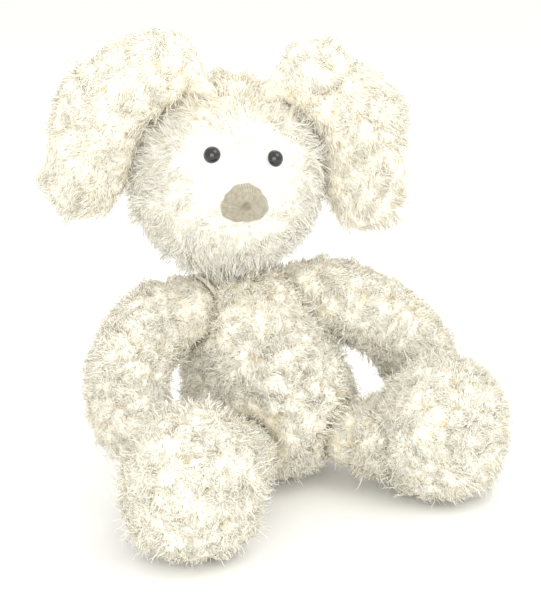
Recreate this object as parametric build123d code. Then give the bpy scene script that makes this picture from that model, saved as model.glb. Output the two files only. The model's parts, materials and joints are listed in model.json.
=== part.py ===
"""A seated plush dog with long floppy ears, built as a sewn and stuffed toy.

Frame: millimetres, +Z up, the dog faces -Y, and its own left side is +X. The origin is the
centre of the flat underside of the seat, on the surface that the toy sits on.

Each soft part is a skin of pile fabric, cut into the panels that it is sewn from, round a core of
fibre filling. A limb ends in a round root, which sits in a round socket in the body. A thin
cup of turned-in fabric and thread, the seam, lies between the two and swivels in the socket,
and the limb hinges in the cup. The ears hinge on a rolled seam along the top of the head.
"""

from build123d import *
from math import asin, cos, radians, sin, sqrt
import os

# Fabric and seams
SKIN = 4.0  # pile fabric, backing and dense underpile together
SEAM = 2.2  # turned-in fabric and thread between a limb and the body
JOINT_GAP = 0.4  # free space on each side of a seam cup
PART_GAP = 0.3  # free space between pieces that pass each other
THREAD_FIT = 0.05  # radial clearance of an ear on its rolled seam

# Body: two round ends and a straight taper between them
SEAT_RADIUS = 49.0
SEAT_HEIGHT = 44.0
CHEST_RADIUS = 36.0
CHEST_CENTRE = (-12.0, 12.0, 94.0)
NECK_RADIUS = 18.0
NECK_CENTRE = (-14.0, 14.0, 127.0)
SIDE_SEAM_Y = 4.0  # the front panel meets the back panels here
BASE_PANEL_HEIGHT = 7.0

# Seat bean bag
BAG_WALL = 1.0
SEAT_BAG_RADIUS = 13.0
SEAT_BAG_HALF_LENGTH = 12.0
SEAT_BAG_CENTRE = (0.0, 16.0, 21.0)

# Head: a wide lower ball, a narrower upper ball and a muzzle
CHEEK_RADIUS = 56.0
CHEEK_DROP = 0.09 * CHEEK_RADIUS
CROWN_RADIUS = 0.8 * CHEEK_RADIUS
CROWN_RISE = 0.18 * CHEEK_RADIUS
MUZZLE_RADIUS = 0.41 * CHEEK_RADIUS
MUZZLE_REACH = 0.68 * CHEEK_RADIUS
MUZZLE_DROP = 0.14 * CHEEK_RADIUS
HEAD_CENTRE = (-21.0, 15.0, CHEEK_RADIUS + 133.0)
HEAD_TURN = -17.0  # about +Z, towards the dog's right
HEAD_ROLL = 5.5  # about the head's own fore-and-aft axis
GUSSET_WIDTH = 34.0

# Eyes and nose
EYE_RADIUS = 5.0
EYE_SPACING = 37.0
EYE_RISE = 16.5
EYE_PROUD = 3.0
EYE_SUNK = 1.0
POST_RADIUS = 1.6
POST_LENGTH = 16.0
WASHER_RADIUS = 7.0
WASHER_THICKNESS = 1.5
WASHER_GAP = 0.6
NOSE_WIDTH = 25.5
NOSE_HEIGHT = 21.0
NOSE_DEPTH = 13.0
NOSE_DROP = 8.0
NOSE_SINK = 1.0

# Ears: a flattened leaf that rises from a round root and hangs beside the head
EAR_SCALE = CHEEK_RADIUS / 56.0  # the ears follow the head
EAR_FLATNESS = 0.5  # thickness over width
EAR_FORWARD = 6.0 * EAR_SCALE
EAR_ROOT_SIDE = 15.0 * EAR_SCALE
EAR_ROOT_DEPTH = 3.5  # of the hinge axis, below the head's surface
EAR_ROOT_RADIUS = 8.0 * EAR_SCALE
EAR_ROOT_LENGTH = 24.0 * EAR_SCALE
EAR_SEAM_RADIUS = 1.5
EAR_SEAM_ANCHOR = 5.0
# Each station is its place beside and above the head's centre, and its radius, in cheek radii.
EAR_UPPER = (0.82, 0.946, 0.482)
EAR_MIDDLE = (1.304, 0.607, 0.536)
EAR_TIP = (1.5, -0.143, 0.429)

# Arms: a bent round bar from the shoulder, out and down to the paw
ARM_SOCKET_SIDE = 39.6  # from the chest's axis
ARM_SOCKET_RISE = 12.0
ARM_RADIUS = 20.5
LEFT_ELBOW = (SEAT_RADIUS + 21.0, -8.0, 92.0)
LEFT_PAW = (SEAT_RADIUS + 49.0, -15.0, 60.0)
RIGHT_ELBOW = (-SEAT_RADIUS - 34.0, 5.0, 94.0)
RIGHT_PAW = (-SEAT_RADIUS - 52.0, -22.0, 59.0)
ARM_CUP_ANGLE = 44.0  # half the angle that the seam cup covers

# Legs and feet
LEG_SOCKET_OUT = SEAT_RADIUS + 3.0
LEG_SOCKET_HEIGHT = 30.0
LEG_ROOT_RADIUS = 20.0
ANKLE_RADIUS = 23.0
ANKLE_SHARE = 0.62  # of the way from the hip to the foot
LEG_CUP_ANGLE = 50.0
FOOT_RADIUS = 35.0
FOOT_HEIGHT = 34.0
FOOT_RISE = 12.0
LEFT_FOOT_ANGLE = 42.0
RIGHT_FOOT_ANGLE = -47.0
LEFT_FOOT_OUT = SEAT_RADIUS + 59.0
RIGHT_FOOT_OUT = SEAT_RADIUS + 82.0
SOLE_DEPTH = 9.0
FOOT_BAG_RADIUS = 12.0
FOOT_BAG_HALF_LENGTH = 9.0
FOOT_BAG_LIFT = 3.0

# Tail
TAIL_HEIGHT = 27.0
TAIL_ROOT_RADIUS = 9.0
TAIL_ROOT_PROUD = 1.5
TAIL_TIP_RADIUS = 10.0
TAIL_LENGTH = 22.0
TAIL_RISE = 25.0
TAIL_CUP_ANGLE = 60.0

NECK_CUP_ANGLE = 62.0
FAR = 400.0  # larger than the toy, for cutting planes
SEAM_TURN = 17.0  # of a revolved surface's seam, clear of the cutting planes


def vector(point):
    """A point or a Vector as a Vector."""
    return point if isinstance(point, Vector) else Vector(*point)


def ball(centre, radius):
    """A whole ball, with its poles to the sides."""
    return Location(vector(centre), (0, 90, 0)) * Sphere(radius)


def pod(start, start_radius, end, end_radius):
    """Two balls and the cone that is tangent to both, as one solid of revolution."""
    start, end = vector(start), vector(end)
    length = (end - start).length
    lean = asin((start_radius - end_radius) / length)
    low_side = (start_radius * cos(lean), start_radius * sin(lean))
    high_side = (end_radius * cos(lean), length + end_radius * sin(lean))
    low_turn = (lean - radians(90)) / 2
    high_turn = (lean + radians(90)) / 2
    low_middle = (start_radius * cos(low_turn), start_radius * sin(low_turn))
    high_middle = (end_radius * cos(high_turn), length + end_radius * sin(high_turn))
    low_pole, high_pole = (0, -start_radius), (0, length + end_radius)
    edges = [
        ThreePointArc(low_pole, low_middle, low_side),
        Line(low_side, high_side),
        ThreePointArc(high_side, high_middle, high_pole),
        Line(high_pole, low_pole),
    ]
    profile = Plane.XZ * make_face(edges)
    base = Plane(origin=start, z_dir=end - start).location
    return base * Rotation(0, 0, SEAM_TURN) * revolve(profile, Axis.Z)


def bent_pod(start, middle, end, radius):
    """A round bar along the arc through three points, with a half ball on each end."""
    path = ThreePointArc(start, middle, end)
    bar = Part()
    for at, sense in ((0, -1), (1, 1)):
        way = (path % at) * sense
        bar += ball(path @ at, radius) & half_space(path @ at, way)
    section = Plane(origin=path @ 0, z_dir=path % 0) * Circle(radius)
    return bar + sweep(section, path)


def rod(start, end, radius):
    """A round rod from one point to another."""
    start, end = vector(start), vector(end)
    length = (end - start).length
    base = Plane(origin=start, z_dir=end - start).location
    return base * Cylinder(radius, length, align=(Align.CENTER, Align.CENTER, Align.MIN))


def half_space(point, direction):
    """A large block on the side of a plane that direction points to."""
    base = Plane(origin=vector(point), z_dir=vector(direction)).location
    return base * Box(FAR, FAR, FAR, align=(Align.CENTER, Align.CENTER, Align.MIN))


def above_floor(shape, height=0.0):
    """The part of a shape that is above a height."""
    return shape & half_space((0, 0, height), (0, 0, 1))


def less(shape, hollows):
    """A shape with each hollow cut from it in turn."""
    for hollow in hollows:
        shape -= hollow
    return shape


def write(name, shape):
    """One STEP file, named after its node."""
    export_step(shape, f"parts/{name}.step")


def seam_cup(centre, root_radius, outward, half_angle):
    """The cup of turned-in fabric and thread round a limb's root, open towards outward."""
    inner = root_radius + JOINT_GAP
    outer = inner + SEAM
    rim, middle = radians(half_angle), radians(half_angle / 2)
    edges = [
        ThreePointArc((0, -outer), at_angle(outer, middle), at_angle(outer, rim)),
        Line(at_angle(outer, rim), at_angle(inner, rim)),
        ThreePointArc(at_angle(inner, rim), at_angle(inner, middle), (0, -inner)),
        Line((0, -inner), (0, -outer)),
    ]
    cup = revolve(Plane.XZ * make_face(edges), Axis.Z)
    return Plane(origin=vector(centre), z_dir=vector(outward)).location * cup


def at_angle(radius, angle):
    """A point of a profile, at an angle from straight down."""
    return (radius * sin(angle), -radius * cos(angle))


def socket_radius(root_radius):
    """The socket that holds a limb's root, its seam cup and the free space round both."""
    return root_radius + SEAM + 2 * JOINT_GAP


# Places that several pieces share
chest_centre = vector(CHEST_CENTRE)
neck_centre = vector(NECK_CENTRE)
seat_centre = Vector(0, 0, SEAT_HEIGHT)
arm_socket = {
    "left": chest_centre + Vector(ARM_SOCKET_SIDE, 0, ARM_SOCKET_RISE),
    "right": chest_centre + Vector(-ARM_SOCKET_SIDE, 0, ARM_SOCKET_RISE),
}
elbow_centre = {"left": vector(LEFT_ELBOW), "right": vector(RIGHT_ELBOW)}
paw_centre = {"left": vector(LEFT_PAW), "right": vector(RIGHT_PAW)}
leg_angle = {"left": radians(LEFT_FOOT_ANGLE), "right": radians(RIGHT_FOOT_ANGLE)}
leg_way = {side: Vector(sin(turn), -cos(turn), 0) for side, turn in leg_angle.items()}
leg_socket = {
    side: way * LEG_SOCKET_OUT + Vector(0, 0, LEG_SOCKET_HEIGHT) for side, way in leg_way.items()
}
foot_out = {"left": LEFT_FOOT_OUT, "right": RIGHT_FOOT_OUT}
foot_centre = {
    side: way * foot_out[side] + Vector(0, 0, FOOT_HEIGHT) for side, way in leg_way.items()
}
tail_out = sqrt(SEAT_RADIUS**2 - (SEAT_HEIGHT - TAIL_HEIGHT) ** 2) + TAIL_ROOT_PROUD
tail_root = Vector(0, tail_out, TAIL_HEIGHT)
tail_way = Vector(0, cos(radians(TAIL_RISE)), sin(radians(TAIL_RISE)))
head_place = (
    Location(vector(HEAD_CENTRE))
    * Location((0, 0, 0), (0, 0, HEAD_TURN))
    * Location((0, 0, 0), (0, HEAD_ROLL, 0))
)


# ---------------------------------------------------------------- body


def body_shape(inset, floor):
    """The body's outline, moved in by inset and cut off at floor."""
    trunk = pod(seat_centre, SEAT_RADIUS - inset, chest_centre, CHEST_RADIUS - inset)
    return above_floor(trunk + ball(neck_centre, NECK_RADIUS - inset), floor)


def body_sockets():
    """The round hollows that the limbs and the tail sit in."""
    arms = [ball(arm_socket[side], socket_radius(ARM_RADIUS)) for side in arm_socket]
    legs = [ball(leg_socket[side], socket_radius(LEG_ROOT_RADIUS)) for side in leg_socket]
    return arms + legs + [ball(tail_root, socket_radius(TAIL_ROOT_RADIUS) - JOINT_GAP)]


def seat_bag(inset):
    """The bean bag in the seat, lying from side to side."""
    middle = vector(SEAT_BAG_CENTRE)
    reach = Vector(SEAT_BAG_HALF_LENGTH, 0, 0)
    radius = SEAT_BAG_RADIUS - inset
    return pod(middle - reach, radius, middle + reach, radius)


def build_body():
    """The body's panels, filling and bean bag."""
    outer, inner = body_shape(0, 0), body_shape(SKIN, SKIN)
    hollows = body_sockets()
    above_base = half_space((0, 0, BASE_PANEL_HEIGHT), (0, 0, 1))
    upper = outer & above_base
    front = upper & half_space((0, SIDE_SEAM_Y, 0), (0, -1, 0))
    back = upper & half_space((0, SIDE_SEAM_Y, 0), (0, 1, 0))
    left_of = half_space((CHEST_CENTRE[0], 0, 0), (1, 0, 0))
    write("body_base_panel", less(outer - above_base, [inner, *hollows]))
    write("body_front_panel", less(front, [inner, *hollows]))
    write("body_back_left_panel", less(back & left_of, [inner, *hollows]))
    write("body_back_right_panel", less(back - left_of, [inner, *hollows]))
    write("body_filling", less(inner, [*hollows, seat_bag(0)]))
    write("seat_bean_bag", seat_bag(0) - seat_bag(BAG_WALL))
    write("seat_pellets", seat_bag(BAG_WALL))


def build_neck_seam():
    """The ring of gathered fabric that joins the head to the body."""
    cup = seam_cup(neck_centre, NECK_RADIUS, Vector(0, 0, -1), NECK_CUP_ANGLE)
    write("neck_seam", cup)


# ---------------------------------------------------------------- head


def head_shape(inset):
    """The head's outline about its own centre, moved in by inset."""
    cheeks, crown = (0, 0, -CHEEK_DROP), (0, 0, CROWN_RISE)
    skull = pod(cheeks, CHEEK_RADIUS - inset, crown, CROWN_RADIUS - inset)
    return skull + ball((0, -MUZZLE_REACH, -MUZZLE_DROP), MUZZLE_RADIUS - inset)


def ear_root_at(side):
    """The middle of an ear's hinge axis, in the head's frame."""
    reach = CHEEK_RADIUS - EAR_ROOT_DEPTH
    rise = sqrt(reach**2 - EAR_ROOT_SIDE**2 - EAR_FORWARD**2)
    return Vector(side * EAR_ROOT_SIDE, -EAR_FORWARD, rise - CHEEK_DROP)


def along_ear(side, radius, half_length):
    """A rod along an ear's hinge axis."""
    middle, reach = ear_root_at(side), Vector(0, half_length, 0)
    return rod(middle - reach, middle + reach, radius)


def ear_groove(side):
    """The hollow along the top of the head that an ear's root turns in."""
    return along_ear(side, EAR_ROOT_RADIUS + PART_GAP, EAR_ROOT_LENGTH / 2 + PART_GAP)


def ear_seam(side):
    """The rolled edge and thread that an ear hangs from."""
    half_length = EAR_ROOT_LENGTH / 2 + PART_GAP + EAR_SEAM_ANCHOR
    return along_ear(side, EAR_SEAM_RADIUS, half_length)


def eye_axis(side):
    """Where an eye sits on the face, and the way it looks, in the head's frame."""
    x, rise = side * EYE_SPACING / 2, EYE_RISE + CHEEK_DROP
    from_cheek = Vector(x, -sqrt(CHEEK_RADIUS**2 - x**2 - rise**2), rise)
    return from_cheek - Vector(0, 0, CHEEK_DROP), from_cheek.normalized()


def eye_bead(side):
    """A domed bead with its post."""
    surface, way = eye_axis(side)
    back = surface - way * EYE_SUNK
    dome = ball(surface - way * (EYE_RADIUS - EYE_PROUD), EYE_RADIUS) & half_space(back, way)
    return dome + rod(back, surface - way * POST_LENGTH, POST_RADIUS)


def eye_washer(side):
    """The lock washer on an eye's post, behind the fabric."""
    surface, way = eye_axis(side)
    front = surface - way * (SKIN + WASHER_GAP)
    disc = rod(front, front - way * WASHER_THICKNESS, WASHER_RADIUS)
    return disc - rod(surface, surface - way * POST_LENGTH, POST_RADIUS)


def nose_pad():
    """The stuffed nose: an oval cushion on the front of the muzzle."""
    front = -MUZZLE_REACH - MUZZLE_RADIUS + NOSE_SINK
    oval = scale(Sphere(1), (NOSE_WIDTH / 2, NOSE_DEPTH / 2, NOSE_HEIGHT / 2))
    return Location((0, front, -NOSE_DROP)) * oval


def build_head():
    """The head's panels, filling, eyes and nose."""
    outer, inner = head_shape(0), head_shape(SKIN)
    neck = head_place.inverse() * ball(neck_centre, socket_radius(NECK_RADIUS))
    eyes = {side: eye_bead(side) for side in (1, -1)}
    washers = {side: eye_washer(side) for side in (1, -1)}
    seams = {side: ear_seam(side) for side in (1, -1)}
    nose = nose_pad() - outer
    skin, filling = outer - inner - neck, inner - neck
    for side in (1, -1):
        for hollow in (ear_groove(side), seams[side], eyes[side]):
            skin -= hollow
            filling -= hollow
        filling -= washers[side]
    half = GUSSET_WIDTH / 2
    left_of, right_of = half_space((half, 0, 0), (1, 0, 0)), half_space((-half, 0, 0), (-1, 0, 0))
    write("head_left_panel", head_place * (skin & left_of))
    write("head_right_panel", head_place * (skin & right_of))
    write("head_gusset", head_place * (skin - left_of - right_of))
    write("head_filling", head_place * filling)
    write("nose_pad", head_place * nose)
    for name, side in (("left", 1), ("right", -1)):
        write(f"{name}_eye", head_place * eyes[side])
        write(f"{name}_eye_washer", head_place * washers[side])
        write(f"{name}_ear_seam", head_place * seams[side])


# ---------------------------------------------------------------- ears


def ear_leaf(side):
    """An ear's leaf before it is fitted to the head, in the head's frame."""
    root = ear_root_at(side)
    places = [(Vector(side * EAR_ROOT_SIDE, 0, root.Z), EAR_ROOT_RADIUS)]
    for out, rise, size in (EAR_UPPER, EAR_MIDDLE, EAR_TIP):
        place = Vector(side * out, 0, rise) * CHEEK_RADIUS
        places.append((place, size * CHEEK_RADIUS))
    leaf = Part()
    for (start, start_radius), (end, end_radius) in zip(places, places[1:]):
        leaf += pod(start, start_radius, end, end_radius)
    return Location((0, root.Y, 0)) * scale(leaf, (1, EAR_FLATNESS, 1))


def build_ears():
    """Both ears, each of an outer fabric and a lining."""
    room = head_shape(-PART_GAP)
    for name, side in (("left", 1), ("right", -1)):
        root = ear_root_at(side)
        outward = Vector(side * (root.Z + CHEEK_DROP), 0, -EAR_ROOT_SIDE)
        leaf = (ear_leaf(side) & half_space(root, outward)) - room
        leaf += along_ear(side, EAR_ROOT_RADIUS, EAR_ROOT_LENGTH / 2)
        leaf -= along_ear(side, EAR_SEAM_RADIUS + THREAD_FIT, EAR_ROOT_LENGTH)
        write(f"{name}_ear_outer", head_place * (leaf & half_space(root, (0, -1, 0))))
        write(f"{name}_ear_lining", head_place * (leaf & half_space(root, (0, 1, 0))))


# ---------------------------------------------------------------- arms


def arm_shape(side, inset):
    """An arm from its round root through the elbow to its paw, moved in by inset."""
    root, elbow, paw = arm_socket[side], elbow_centre[side], paw_centre[side]
    return bent_pod(root, elbow, paw, ARM_RADIUS - inset)


def build_arms():
    """Both arms: a front half, a back half, the filling and the seam cup."""
    for side in ("left", "right"):
        skin = arm_shape(side, 0) - arm_shape(side, SKIN)
        root, elbow = arm_socket[side], elbow_centre[side]
        across = (elbow - root).cross(paw_centre[side] - root)
        forward = across if across.Y < 0 else -1 * across
        outward = (elbow - root).normalized()
        write(f"{side}_arm_front_panel", skin & half_space(root, forward))
        write(f"{side}_arm_back_panel", skin & half_space(root, -1 * forward))
        write(f"{side}_arm_filling", arm_shape(side, SKIN))
        write(f"{side}_arm_seam", seam_cup(root, ARM_RADIUS, outward, ARM_CUP_ANGLE))


# ---------------------------------------------------------------- legs


def foot_shape(side, inset):
    """A foot: an upright round pad with a flat patch to stand on."""
    low = foot_centre[side]
    radius = FOOT_RADIUS - inset
    return pod(low, radius, low + Vector(0, 0, FOOT_RISE), radius)


def leg_shape(side, inset, floor):
    """A leg from its round root through the ankle, with its foot, moved in by inset."""
    root = leg_socket[side]
    ankle = root + (foot_centre[side] - root) * ANKLE_SHARE
    tube = pod(root, LEG_ROOT_RADIUS - inset, ankle, ANKLE_RADIUS - inset)
    return above_floor(tube + foot_shape(side, inset), floor)


def foot_bag(side, inset):
    """The bean bag in a foot, lying across it."""
    height = SKIN + FOOT_BAG_LIFT + FOOT_BAG_RADIUS
    middle = foot_centre[side] + Vector(0, 0, height - FOOT_HEIGHT)
    reach = leg_way[side].cross(Vector(0, 0, 1)) * FOOT_BAG_HALF_LENGTH
    radius = FOOT_BAG_RADIUS - inset
    return pod(middle - reach, radius, middle + reach, radius)


def build_legs():
    """Both legs: upper and under panels, sole, filling, bean bag and seam cup."""
    for side in ("left", "right"):
        root, way = leg_socket[side], leg_way[side]
        skin = leg_shape(side, 0, 0) - leg_shape(side, SKIN, SKIN)
        sole_plane = foot_centre[side] + way * (FOOT_RADIUS - SOLE_DEPTH)
        beyond = half_space(sole_plane, way)
        rest = skin - beyond
        upper_side = half_space(root, (0, 0, 1))
        write(f"{side}_sole_panel", skin & beyond)
        write(f"{side}_leg_upper_panel", rest & upper_side)
        write(f"{side}_leg_under_panel", rest - upper_side)
        write(f"{side}_leg_filling", leg_shape(side, SKIN, SKIN) - foot_bag(side, 0))
        write(f"{side}_foot_bean_bag", foot_bag(side, 0) - foot_bag(side, BAG_WALL))
        write(f"{side}_foot_pellets", foot_bag(side, BAG_WALL))
        write(f"{side}_leg_seam", seam_cup(root, LEG_ROOT_RADIUS, way, LEG_CUP_ANGLE))


# ---------------------------------------------------------------- tail


def tail_shape(inset):
    """The tail: a short round tuft, moved in by inset."""
    end = tail_root + tail_way * TAIL_LENGTH
    return pod(tail_root, TAIL_ROOT_RADIUS - inset, end, TAIL_TIP_RADIUS - inset)


def build_tail():
    """The tail's two halves and its filling."""
    skin = tail_shape(0) - tail_shape(SKIN)
    write("tail_left_panel", skin & half_space((0, 0, 0), (1, 0, 0)))
    write("tail_right_panel", skin & half_space((0, 0, 0), (-1, 0, 0)))
    write("tail_filling", tail_shape(SKIN))
    cup = seam_cup(tail_root, TAIL_ROOT_RADIUS, tail_way, TAIL_CUP_ANGLE)
    write("tail_seam", cup)


os.makedirs("parts", exist_ok=True)
build_body()
build_neck_seam()
build_head()
build_ears()
build_arms()
build_legs()
build_tail()
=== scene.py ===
"""Looks of the plush dog: stuffed skins of curly pile fabric, bead eyes and a stitched nose.

Every fabric part is built in three steps. A stuffed form is blown up by cloth simulation from
the filling's solid. Its surface is raised into soft tufts, the underpile. Then the long pile is
grown on it strand by strand, combed, gathered into locks and curled.
"""

import json
import logging
import math
from dataclasses import dataclass, field
from enum import Enum
from typing import Callable, List, Optional, Sequence, Tuple

import bmesh
import bpy
import numpy as np
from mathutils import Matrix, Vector
from mathutils.bvhtree import BVHTree


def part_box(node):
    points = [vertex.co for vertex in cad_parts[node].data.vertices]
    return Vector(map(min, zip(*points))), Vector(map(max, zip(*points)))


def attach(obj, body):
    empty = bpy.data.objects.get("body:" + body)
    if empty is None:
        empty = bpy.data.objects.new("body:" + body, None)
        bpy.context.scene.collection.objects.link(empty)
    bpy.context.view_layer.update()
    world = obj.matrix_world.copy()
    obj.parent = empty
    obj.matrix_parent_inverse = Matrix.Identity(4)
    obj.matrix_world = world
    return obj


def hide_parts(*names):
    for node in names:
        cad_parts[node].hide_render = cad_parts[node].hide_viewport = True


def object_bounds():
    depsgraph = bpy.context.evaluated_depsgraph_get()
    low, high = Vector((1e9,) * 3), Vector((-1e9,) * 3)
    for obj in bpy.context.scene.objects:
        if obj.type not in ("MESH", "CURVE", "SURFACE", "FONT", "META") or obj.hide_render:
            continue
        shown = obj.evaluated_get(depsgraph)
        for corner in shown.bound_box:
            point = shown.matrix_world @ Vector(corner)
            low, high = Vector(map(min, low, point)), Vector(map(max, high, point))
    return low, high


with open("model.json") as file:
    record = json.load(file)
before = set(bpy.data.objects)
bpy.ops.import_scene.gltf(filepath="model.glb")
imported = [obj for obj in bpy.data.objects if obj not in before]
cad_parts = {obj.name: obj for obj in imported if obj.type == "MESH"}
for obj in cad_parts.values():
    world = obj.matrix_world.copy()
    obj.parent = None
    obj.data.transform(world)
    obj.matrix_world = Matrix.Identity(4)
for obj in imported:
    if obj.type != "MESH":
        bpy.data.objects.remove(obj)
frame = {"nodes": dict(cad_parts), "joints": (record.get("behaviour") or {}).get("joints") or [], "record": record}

LOG = logging.getLogger("plush_dog")
CAD_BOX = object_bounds()
PILE_MAP = "OFBake"
FLOOR_GAP = 0.0006
MOST_PROUD = 0.0125
SIDES = {"left": 1.0, "right": -1.0}
Array = np.ndarray
Colour = Tuple[float, float, float]
Comb = Callable[[Array, Array], Array]


class Cut(Enum):
    """Which part of a stuffed form a length of pile is grown on."""

    WHOLE = "whole"
    FRONT = "front"
    BACK = "back"


# ---------------------------------------------------------------- places


def joint_place(name: str) -> Array:
    """The place of a joint's pivot at rest, in metres."""
    found = [j for j in frame["joints"] if j["name"] == name]
    return np.array(found[0]["pos_m"], float)


def box_of(*nodes: str) -> Tuple[Array, Array]:
    """The lowest and highest corner of some nodes together."""
    boxes = [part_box(node) for node in nodes]
    low = np.min([np.array(low, float) for low, _ in boxes], axis=0)
    high = np.max([np.array(high, float) for _, high in boxes], axis=0)
    return low, high


def middle_of(*nodes: str) -> Array:
    """The middle of the box that holds some nodes."""
    low, high = box_of(*nodes)
    return (low + high) / 2


def unit(vectors: Array) -> Array:
    """Rows scaled to length 1."""
    size = np.linalg.norm(vectors, axis=-1, keepdims=True)
    return vectors / np.maximum(size, 1e-9)


def smooth_step(values: Array, low: float, high: float) -> Array:
    """0 below low, 1 above high, and a smooth rise between them."""
    t = np.clip((values - low) / (high - low), 0.0, 1.0)
    return t * t * (3.0 - 2.0 * t)


# ---------------------------------------------------------------- mesh helpers


def select_only(piece: bpy.types.Object) -> None:
    """Deselects everything, then selects a piece and makes it active."""
    bpy.ops.object.select_all(action="DESELECT")
    piece.select_set(True)
    bpy.context.view_layer.objects.active = piece


def apply_modifiers(piece: bpy.types.Object) -> None:
    """Applies a piece's modifiers in order."""
    select_only(piece)
    for modifier in list(piece.modifiers):
        bpy.ops.object.modifier_apply(modifier=modifier.name)


def vertex_places(mesh: bpy.types.Mesh) -> Array:
    """A mesh's vertices as rows."""
    places = np.empty(len(mesh.vertices) * 3, np.float32)
    mesh.vertices.foreach_get("co", places)
    return places.reshape(-1, 3).astype(float)


def vertex_normals(mesh: bpy.types.Mesh) -> Array:
    """A mesh's vertex normals as rows."""
    normals = np.empty(len(mesh.vertices) * 3, np.float32)
    mesh.vertex_normals.foreach_get("vector", normals)
    return normals.reshape(-1, 3).astype(float)


def set_places(mesh: bpy.types.Mesh, places: Array) -> None:
    """Writes a mesh's vertices."""
    mesh.vertices.foreach_set("co", places.astype(np.float32).ravel())
    mesh.update()


def triangles_of(mesh: bpy.types.Mesh) -> Array:
    """A mesh's triangles as rows of vertex numbers."""
    mesh.calc_loop_triangles()
    found = np.empty(len(mesh.loop_triangles) * 3, np.int32)
    mesh.loop_triangles.foreach_get("vertices", found)
    return found.reshape(-1, 3)


def triangle_mesh(name: str, places: Array, triangles: Array) -> bpy.types.Object:
    """A smooth-shaded object from vertices and triangles.

    Args:
        name: The object's name.
        places: Vertices, one row each.
        triangles: Vertex numbers, one row for each triangle.

    Returns:
        The new object, linked to the scene.
    """
    mesh = bpy.data.meshes.new(name)
    mesh.vertices.add(len(places))
    mesh.vertices.foreach_set("co", places.astype(np.float32).ravel())
    mesh.loops.add(triangles.size)
    mesh.loops.foreach_set("vertex_index", triangles.astype(np.int32).ravel())
    mesh.polygons.add(len(triangles))
    starts = np.arange(0, triangles.size, 3, dtype=np.int32)
    mesh.polygons.foreach_set("loop_start", starts)
    mesh.update(calc_edges=True)
    mesh.polygons.foreach_set("use_smooth", np.ones(len(triangles), bool))
    piece = bpy.data.objects.new(name, mesh)
    bpy.context.collection.objects.link(piece)
    return piece


def keep_outer_shell(piece: bpy.types.Object) -> None:
    """Deletes every loose shell of a mesh but the one with the most vertices."""
    shape = bmesh.new()
    shape.from_mesh(piece.data)
    unseen = set(shape.verts)
    shells: List[List[bmesh.types.BMVert]] = []
    while unseen:
        queue = [unseen.pop()]
        shell = []
        while queue:
            vertex = queue.pop()
            shell.append(vertex)
            for edge in vertex.link_edges:
                other = edge.other_vert(vertex)
                if other in unseen:
                    unseen.remove(other)
                    queue.append(other)
        shells.append(shell)
    shells.sort(key=len)
    for shell in shells[:-1]:
        bmesh.ops.delete(shape, geom=shell, context="VERTS")
    shape.to_mesh(piece.data)
    shape.free()


# ---------------------------------------------------------------- stuffed forms


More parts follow.
